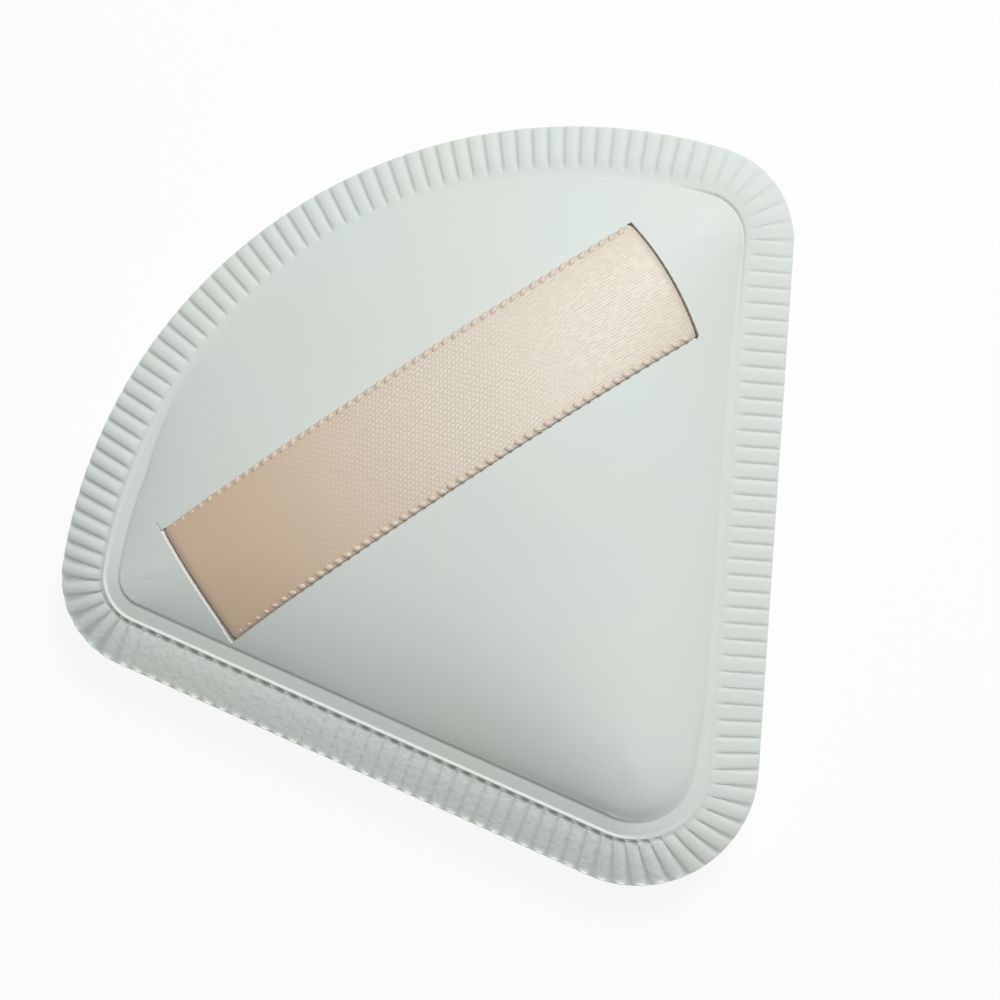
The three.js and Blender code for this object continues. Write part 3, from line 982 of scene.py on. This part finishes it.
def raise_patch(name, foot, top, upwards, lowest=0):
    """A copy of the pillow patch from its foot to a top height over the weld."""
    copy = copy_piece(patch, name)
    places = points_of(copy)
    heights = foot + places[:, 2] * (top - foot)
    places[:, 2] = np.maximum(WELD_HEIGHT + upwards * heights, lowest)
    move_points(copy, places)
    apply(copy, "SUBSURF", levels=1, render_levels=1)
    return copy


def recalculate_normals(piece):
    edit_all(piece)
    bpy.ops.mesh.normals_make_consistent(inside=False)
    bpy.ops.object.mode_set(mode="OBJECT")


def near_crease(edge):
    away = np.linalg.norm(patch_border - edge.verts[0].co.xy, axis=1)
    return away.min() < NEAR_CREASE


def sew(name, band, outside, inside):
    """Joins the band and two pillows into one closed skin."""
    take(band, outside)
    bpy.ops.object.join()
    bridge_open_edges(band, near_crease)
    take(band, inside)
    bpy.ops.object.join()
    bridge_open_edges(band)
    recalculate_normals(band)
    band.name = name
    return band


print("height of the back over the weld in mm:", round(BACK_TOP / MM, 2))

# %% Cover
COVER_THICKNESS = 0.7 * MM
FOOT_RISE = 0.03 * MM
SHARP_FROM = math.radians(40)


def finish_smooth(piece, *finishes, sharp_from=SHARP_FROM):
    """Gives the piece its finishes and smooth faces, with sharp edges where it turns that far."""
    for material in finishes:
        piece.data.materials.append(material)
    take(piece)
    bpy.ops.object.shade_smooth_by_angle(angle=sharp_from)


def tell(piece):
    """Prints how many faces the piece has and how many of its edges are open."""
    shape = bmesh.new()
    shape.from_mesh(piece.data)
    count = sum(not edge.is_manifold for edge in shape.edges)
    shape.free()
    print(piece.name, "faces:", len(piece.data.polygons), "open edges:", count)


cover = sew(
    "cover_sheet",
    cover_band,
    raise_patch("back_pillow", from_border(points_of(patch), crease_heights) + FOOT_RISE, BACK_TOP, 1),
    raise_patch("back_inside", INNER_FOOT, BACK_TOP - COVER_THICKNESS, 1),
)
tell(cover)

# %% [markdown]
# ## Where the ribbon lies
# The ribbon lies over the pillow's crown, a little askew, goes down through a slit at each end and
# turns back inside, where its tails are stuck. A Shrinkwrap modifier could lay it on the cover, but
# the slits, the folds and the tails need the pillow's height as a number. Rays cast straight down
# on the cover give it on lines along the ribbon, and the slope of each line gives the direction
# along the sheet and the direction out of it.

# %% Dome under the ribbon
RIBBON_MIDDLE = np.array((0, 10.62)) * MM
RIBBON_SKEW = math.radians(1.6)
RIBBON_WIDTH = 12 * MM
LINE_REACH = 28 * MM
LINE_STEP = 0.5 * MM
RAY_HEIGHT = 50 * MM
LINE_DECIMALS = 7

ribbon_along = np.array((math.cos(RIBBON_SKEW), math.sin(RIBBON_SKEW)))
ribbon_across = np.array((-math.sin(RIBBON_SKEW), math.cos(RIBBON_SKEW)))
cover_rays = BVHTree.FromObject(cover, bpy.context.evaluated_depsgraph_get())


def ribbon_to_puff(alongs, acrosses, heights):
    """Ribbon places turned into the puff's own coordinates."""
    flat = RIBBON_MIDDLE + np.outer(alongs, ribbon_along) + np.outer(acrosses, ribbon_across)
    return np.column_stack([flat, np.broadcast_to(heights, len(flat))])


class DomeLine:
    """The pillow's top along the ribbon, at one place across it."""

    def __init__(self, across):
        self.across = across
        self.alongs = np.arange(-LINE_REACH, LINE_REACH + LINE_STEP, LINE_STEP)
        starts = ribbon_to_puff(self.alongs, across, RAY_HEIGHT)
        hits = [cover_rays.ray_cast(Vector(start), Vector((0, 0, -1)))[0] for start in starts]
        self.heights = np.array([hit.z for hit in hits])
        self.slopes = np.gradient(self.heights, LINE_STEP)

    def place(self, alongs, offsets):
        """Along and height of points that lie offsets out of the sheet."""
        slopes = np.interp(alongs, self.alongs, self.slopes)
        length = np.sqrt(1 + slopes**2)
        heights = np.interp(alongs, self.alongs, self.heights)
        return alongs - offsets * slopes / length, heights + offsets / length


def lay_on_pillow(piece, lay):
    """Moves a flat piece, X along the ribbon and Y across it, to where lay puts each line of it."""
    flat = points_of(piece)
    places = np.empty_like(flat)
    for across in np.unique(flat[:, 1].round(LINE_DECIMALS)):
        here = np.abs(flat[:, 1] - across) < TOUCHING
        alongs, heights = lay(DomeLine(across), flat[here])
        places[here] = ribbon_to_puff(alongs, across, heights)
    move_points(piece, places)


middle_line = DomeLine(0)
print("pillow height in mm at the ribbon's middle:", round(middle_line.heights.max() / MM, 2))

# %% [markdown]
# ## The slits
# Both slits are cut down through the sheet. The left one's outer wall leans, so that its pale cut
# shows, and the right one is bowed and turned a little against the ribbon. A cube the size of
# the slit is subdivided along its length and gets a narrow overcut at each end, where the blade ran
# on. Its points are then laid on the pillow line by line, as the ribbon's are, so that the gap
# between them stays even. A Boolean modifier takes it away from the cover. The walls that it leaves
# take the cutter's finish, the paler core of the sheet.

# %% Folds
class Slit(NamedTuple):
    """A slit beside the ribbon's fold, in metres, with its overcuts at the arc end and the tip end."""

    fold: float
    width: float
    overcuts: tuple
    wall_lean: float


LEFT_SLIT = Slit(24.92 * MM, 0.64 * MM, (0.9 * MM, 0.02 * MM), 0.35)
RIGHT_SLIT = Slit(24.15 * MM, 0.48 * MM, (0.02 * MM, 0.15 * MM), 0)
RIGHT_BOW = 0.6 * MM
RIGHT_LEAN = math.tan(math.radians(2.5))


def fold_at(sides, across):
    """How far out the ribbon folds at its left end, side -1, or its right end, side 1."""
    bow = RIGHT_BOW * (1 - (2 * across / RIBBON_WIDTH) ** 2)
    return np.where(sides < 0, LEFT_SLIT.fold, RIGHT_SLIT.fold + bow + RIGHT_LEAN * across)


print("folds in mm from the middle:", round(LEFT_SLIT.fold / MM, 2), round(RIGHT_SLIT.fold / MM, 2))

# %% Slits
SLIT_FROM_FOLD = 0.42 * MM
SLIT_LENGTH = 12.04 * MM
SLIT_CUT_DEPTH = 3 * MM
SLIT_CUTS = 15
OVERCUT_WIDTH = 0.1 * MM
OVERCUT_STEP = 0.03 * MM
FACING = 0.9


def cut_slit(side, slit):
    """Cuts the slit at the ribbon's left end, side -1, or its right end, side 1."""
    deselect()
    middle = SLIT_FROM_FOLD + slit.width / 2
    bpy.ops.mesh.primitive_cube_add(size=1, location=(middle, 0, 0))
    cutter = bpy.context.object
    bpy.ops.transform.resize(value=(slit.width, SLIT_LENGTH, SLIT_CUT_DEPTH))
    bpy.ops.object.transform_apply(location=True, scale=True)
    for level in (-1, 1):
        shape = edit(cutter)
        select(shape.verts, lambda point: point.co.x > middle and point.co.z * level > 0)
        bpy.ops.transform.translate(value=(level * slit.wall_lean * SLIT_CUT_DEPTH / 2, 0, 0))
    shape = edit(cutter, "EDGE")
    select(shape.edges, lambda edge: abs(edge.verts[0].co.y - edge.verts[1].co.y) > SLIT_LENGTH / 2)
    bpy.ops.mesh.subdivide(number_cuts=SLIT_CUTS)
    for way, overcut in zip((1, -1), slit.overcuts):
        shape = edit(cutter, "FACE")
        select(shape.faces, lambda face: face.normal.y * way > FACING)
        bpy.ops.mesh.extrude_region_move(TRANSFORM_OT_translate={"value": (0, way * OVERCUT_STEP, 0)})
        bpy.ops.transform.resize(value=(OVERCUT_WIDTH / slit.width, 1, 1))
        bpy.ops.mesh.extrude_region_move(TRANSFORM_OT_translate={"value": (0, way * overcut, 0)})
    bpy.ops.object.mode_set(mode="OBJECT")
    lay_on_pillow(
        cutter,
        lambda line, flat: line.place(side * (fold_at(side, line.across) + flat[:, 0]), flat[:, 2]),
    )
    recalculate_normals(cutter)
    cutter.data.materials.append(cut_finish)
    apply(cover, "BOOLEAN", operation="DIFFERENCE", solver="EXACT", object=cutter, material_mode="TRANSFER")
    bpy.data.objects.remove(cutter)


cover.data.materials.append(cover_finish)
cut_slit(-1, LEFT_SLIT)
cut_slit(1, RIGHT_SLIT)
finish_smooth(cover)
tell(cover)

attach(cover, "pad")
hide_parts("back_cover")

# %% [markdown]
# ## The satin ribbon
# The ribbon is cut as one flat strip, so it is modelled as one: a flat grid with its weave laid out
# in millimetres as a UV map. Each point's run along the strip then tells where it goes: over the
# pillow, round the fold in a slit, or back under the cover as a tail. Solidify gives the strip its
# thickness, and one subdivision rounds its edges.

# %% Ribbon
RIBBON_THICKNESS = 0.35 * MM
STRAP_OVER = 0.22 * MM
TAIL_UNDER = 1.2 * MM
TAIL_LENGTH = 10 * MM
FOLD_RADIUS = (STRAP_OVER + TAIL_UNDER) / 2
RIBBON_STEPS = 180
RIBBON_COLUMNS = 10
STRAP_SAMPLES = 200

strap_alongs = np.linspace(-LEFT_SLIT.fold, RIGHT_SLIT.fold, STRAP_SAMPLES)
strap_line = middle_line.place(strap_alongs, STRAP_OVER)
STRAP_RUN = float(np.hypot(*np.diff(strap_line, axis=1)).sum()) / 2
FOLD_RUN = math.pi * FOLD_RADIUS
RIBBON_LENGTH = 2 * (STRAP_RUN + FOLD_RUN + TAIL_LENGTH)


def lay_line(line, flat):
    """Along and height of one line of the ribbon, whose X is the run from its middle."""
    runs = flat[:, 0]
    side = np.sign(runs)
    fold_place = fold_at(side, line.across)
    over = np.minimum(np.abs(runs) / STRAP_RUN, 1) * fold_place
    fold = np.clip((np.abs(runs) - STRAP_RUN) / FOLD_RUN, 0, 1) * math.pi
    tail = np.maximum(np.abs(runs) - STRAP_RUN - FOLD_RUN, 0)
    alongs, heights = line.place(side * over, STRAP_OVER - FOLD_RADIUS * (1 - np.cos(fold)))
    slopes = side * np.interp(side * over, line.alongs, line.slopes)
    bulge = FOLD_RADIUS * np.sin(fold) / np.sqrt(1 + slopes**2)
    alongs, heights = alongs + side * bulge, heights + slopes * bulge
    under, under_heights = line.place(side * (fold_place - tail), -TAIL_UNDER)
    return np.where(tail > 0, under, alongs), np.where(tail > 0, under_heights, heights)


def make_ribbon():
    deselect()
    bpy.ops.mesh.primitive_grid_add(x_subdivisions=RIBBON_STEPS, y_subdivisions=RIBBON_COLUMNS, size=1)
    ribbon = bpy.context.object
    ribbon.name = "finger_ribbon"
    bpy.ops.transform.resize(value=(RIBBON_LENGTH, RIBBON_WIDTH, 1))
    bpy.ops.object.transform_apply(scale=True)
    flat = points_of(ribbon)
    weave = ribbon.data.uv_layers[0]
    weave.name = "weave"
    corners = np.empty(len(ribbon.data.loops), dtype=np.int32)
    ribbon.data.loops.foreach_get("vertex_index", corners)
    weave.data.foreach_set("uv", (flat[corners][:, :2] / MM).ravel())
    lay_on_pillow(ribbon, lay_line)
    apply(ribbon, "SOLIDIFY", thickness=RIBBON_THICKNESS, offset=0)
    apply(ribbon, "SUBSURF", levels=1, render_levels=1)
    recalculate_normals(ribbon)
    return ribbon


ribbon = make_ribbon()
print("ribbon length in mm:", round(RIBBON_LENGTH / MM, 1), "faces:", len(ribbon.data.polygons))

# %% [markdown]
# ## Selvedge loops
# Along both edges the weft turns back in small slanting loops, which catch the light as a row of
# beads. One loop is a sphere that is squeezed to a slanted bean. It is copied along the two edges,
# smaller where the left end is pressed, and the copies become part of the ribbon.

# %% One loop
LOOP_SIZE = (0.95 * MM, 0.58 * MM, 0.42 * MM)
LOOP_SEGMENTS, LOOP_RINGS = 10, 6


def make_loop():
    deselect()
    bpy.ops.mesh.primitive_uv_sphere_add(
        segments=LOOP_SEGMENTS, ring_count=LOOP_RINGS, radius=0.5, calc_uvs=False
    )
    loop = bpy.context.object
    bpy.ops.transform.resize(value=LOOP_SIZE)
    bpy.ops.object.transform_apply(scale=True)
    return loop


loop = make_loop()
print("loop faces:", len(loop.data.polygons))

# %% Loops along the edges
LOOP_PITCH = 1.02 * MM
LOOP_SLANT = math.radians(30)
LOOP_FROM_EDGE = 0.34 * MM
LOOP_RISE = 0.1 * MM
LOOP_LEAST = 0.45
LOOP_SWELL = 9 * MM
RIBBON_SHARP_FROM = math.radians(60)


def copies_in_one(piece, name, frames):
    """One mesh with a copy of the piece in each frame, the rows of a 3 by 4 matrix."""
    points = points_of(piece)
    faces = [list(face.vertices) for face in piece.data.polygons]
    places = np.einsum("kij,nj->kni", frames[:, :, :3], points) + frames[:, None, :, 3]
    count = len(points)
    every = [[copy * count + corner for corner in face] for copy in range(len(frames)) for face in faces]
    mesh = bpy.data.meshes.new(name)
    mesh.from_pydata(places.reshape(-1, 3).tolist(), [], every)
    mesh.update()
    made = bpy.data.objects.new(name, mesh)
    bpy.context.collection.objects.link(made)
    return made


def sheet_frame(line, along):
    """Matrix whose X runs along the ribbon, Y across it and Z out of the sheet."""
    slope = float(np.interp(along, line.alongs, line.slopes))
    forwards = Vector((*ribbon_along, slope)).normalized()
    across = Vector((*ribbon_across, 0))
    turn = Matrix((forwards, across, forwards.cross(across))).transposed()
    height = float(np.interp(along, line.alongs, line.heights))
    spot = ribbon_to_puff([along], [line.across], [height])[0]
    return Matrix.Translation(spot) @ turn.to_4x4()


def loop_frames():
    frames = []
    for edge in (-1, 1):
        line = DomeLine(edge * (RIBBON_WIDTH / 2 - LOOP_FROM_EDGE))
        first, last = -float(fold_at(-1, line.across)), float(fold_at(1, line.across))
        count = round((last - first) / LOOP_PITCH)
        lift = Matrix.Translation((0, 0, STRAP_OVER + LOOP_RISE))
        slant = Matrix.Rotation(edge * LOOP_SLANT, 4, "Z")
        for along in first + (np.arange(count) + 0.5) * (last - first) / count:
            swell = np.interp(along - first, (0, LOOP_SWELL), (LOOP_LEAST, 1))
            frame_here = sheet_frame(line, along) @ lift @ slant @ Matrix.Scale(swell, 4)
            frames.append(np.array(frame_here)[:3])
    return np.array(frames)


loops = copies_in_one(loop, "selvedge_loops", loop_frames())
bpy.data.objects.remove(loop)
ribbon.data.materials.append(satin_finish)
loops.data.materials.append(selvedge_finish)
take(ribbon, loops)
bpy.ops.object.join()
finish_smooth(ribbon, sharp_from=RIBBON_SHARP_FROM)
print("ribbon faces with loops:", len(ribbon.data.polygons))

bow_top = float(points_of(ribbon)[:, 2].max())
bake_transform(ribbon)
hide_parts("ribbon_strap")

# %% [markdown]
# ## The plush face
# Under the weld lies the face that touches skin. It is the same pillow turned over, with a plainer
# band, and it is flat where the puff rests. Its backing is sewn from the same band and patch.

# %% Face backing
FACE_GROOVE_SHARE = 0.5
FACE_DEPTHS = np.array((0, 0.07, 0.25, 0.65, 1.3, 2.6, 3.4, 4, 4.6, 5.6)) * MM
FACE_HEIGHTS = np.array((0.2, 0.32, 0.42, 0.5, 0.57, 0.64, 0.62, 0.52, 0.46, 0.44)) * MM
FACE_FOOT = 0.42 * MM
FACE_TOP = 6.9 * MM
FACE_LOWEST = 0.45 * MM
FACE_THICKNESS = 0.6 * MM


def face_height(depths):
    return np.interp(depths, FACE_DEPTHS, FACE_HEIGHTS)


bend_strip(face_band, -1, face_height, FACE_GROOVE_SHARE)
face_pillow = raise_patch("face_pillow", FACE_FOOT, FACE_TOP, -1, FACE_LOWEST)
pile_bed = copy_piece(face_pillow, "pile_bed")
face = sew(
    "plush_face",
    face_band,
    face_pillow,
    raise_patch("face_inside", INNER_FOOT, FACE_TOP - FACE_THICKNESS, -1, FACE_LOWEST + FACE_THICKNESS),
)
finish_smooth(face, plush_finish)
tell(face)

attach(face, "pad")
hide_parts("front_face")

# %% [markdown]
# ## The pile
# Short plush is a forest of soft tufts. Hair could grow it, but tufts that are real meshes also
# export. One tuft is a slim three-sided cone. Copies stand on the pillow's faces, close together,
# each with its own lean, turn and length, and are pressed flat on the floor.

# %% Pile
TUFT_COUNT = 20000
TUFT_WIDTH = 0.58 * MM
TUFT_LENGTH = 1.05 * MM
TUFT_LENGTHS = (0.75, 1.1)
TUFT_WIDTHS = (0.8, 1.2)
TUFT_LEAN = 0.5 * np.array((1, 1, 0.3))
TUFT_SHARP_FROM = math.radians(70)
TUFT_FLOOR = 0.02 * MM
PILE_SEED = 7


def make_tuft():
    """A tuft of unit length that stands on the origin."""
    deselect()
    middle = (0, 0, 0.5)
    bpy.ops.mesh.primitive_cone_add(vertices=3, radius1=0.5, depth=1, location=middle, calc_uvs=False)
    tuft = bpy.context.object
    bpy.ops.object.transform_apply(location=True)
    return tuft


def face_values(faces, name):
    values = np.empty(len(faces) * 3)
    faces.foreach_get(name, values)
    return values.reshape(-1, 3)


def tuft_frames(bed):
    rng = np.random.default_rng(PILE_SEED)
    faces = bed.data.polygons
    chosen = rng.permutation(len(faces))[:TUFT_COUNT]
    roots, outs = face_values(faces, "center")[chosen], face_values(faces, "normal")[chosen]
    outs *= -np.sign(outs[:, 2])[:, None]
    lengths = TUFT_LENGTH * rng.uniform(*TUFT_LENGTHS, TUFT_COUNT)
    stems = outs + TUFT_LEAN * rng.normal(size=(TUFT_COUNT, 3))
    stems /= np.linalg.norm(stems, axis=1)[:, None]
    turns = rng.normal(size=(TUFT_COUNT, 3))
    sides = np.cross(stems, turns)
    sides /= np.linalg.norm(sides, axis=1)[:, None]
    others = np.cross(stems, sides)
    widths = TUFT_WIDTH * rng.uniform(*TUFT_WIDTHS, TUFT_COUNT)
    columns = (sides * widths[:, None], others * widths[:, None], stems * lengths[:, None], roots)
    return np.stack(columns, axis=2)


tuft = make_tuft()
pile = copies_in_one(tuft, "plush_pile", tuft_frames(pile_bed))
bpy.data.objects.remove(tuft)
bpy.data.objects.remove(pile_bed)
pile_places = points_of(pile)
pile_places[:, 2] = np.maximum(pile_places[:, 2], TUFT_FLOOR)
move_points(pile, pile_places)
recalculate_normals(pile)
finish_smooth(pile, plush_finish, sharp_from=TUFT_SHARP_FROM)
print("tufts:", TUFT_COUNT, "faces:", len(pile.data.polygons))

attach(pile, "pad")
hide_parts("front_face")

# %% [markdown]
# ## The foam
# The foam that fills the pillow isn't seen, but the puff needs it. It is the same patch drawn in
# from the weld, raised to both sides and bridged, with a shallow pocket for each tail.

# %% Foam core
FOAM_SHARE = 0.93
FOAM_MIDDLE = np.array((0, 3)) * MM
FOAM_FOOT = 0.5 * MM
FOAM_TOP = 5.6 * MM
FOAM_BOTTOM = 5.5 * MM
FOAM_LOWEST = 1.4 * MM
POCKET_DEPTH = 1.4 * MM
POCKET_FROM = 11 * MM
POCKET_TO = 26.5 * MM
POCKET_HALF = 8 * MM
POCKET_SLOPE = 1.5 * MM


def soft_window(values, first, last, slope):
    """1 between two limits and 0 outside, with sloping sides."""
    return np.clip((values - first) / slope + 1, 0, 1) * np.clip((last - values) / slope + 1, 0, 1)


def make_foam():
    top = raise_patch("foam_core_piece", FOAM_FOOT, FOAM_TOP, 1)
    places = points_of(top)
    rel = places[:, :2] - RIBBON_MIDDLE
    pocket = soft_window(np.abs(rel @ ribbon_along), POCKET_FROM, POCKET_TO, POCKET_SLOPE)
    pocket *= soft_window(rel @ ribbon_across, -POCKET_HALF, POCKET_HALF, POCKET_SLOPE)
    places[:, 2] = np.maximum(places[:, 2] - POCKET_DEPTH * pocket, WELD_HEIGHT + FOAM_FOOT)
    move_points(top, places)
    bottom = raise_patch("foam_bottom", FOAM_FOOT, FOAM_BOTTOM, -1, FOAM_LOWEST)
    take(top, bottom)
    bpy.ops.object.join()
    bridge_open_edges(top)
    places = points_of(top)
    places[:, :2] = FOAM_MIDDLE + FOAM_SHARE * (places[:, :2] - FOAM_MIDDLE)
    move_points(top, places)
    recalculate_normals(top)
    return top


foam = make_foam()
finish_smooth(foam, foam_finish)
tell(foam)

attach(foam, "pad")
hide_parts("foam_core")

# %% [markdown]
# ## The patches
# The two patches that stick the tails inside are the frame's own solids, and only get a finish. The
# pillow patch was a pattern for the others and goes.

# %% The patches
bpy.data.objects.remove(patch)
for name in ("left_tail_patch", "right_tail_patch"):
    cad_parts[name].data.materials.clear()
    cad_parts[name].data.materials.append(patch_finish)
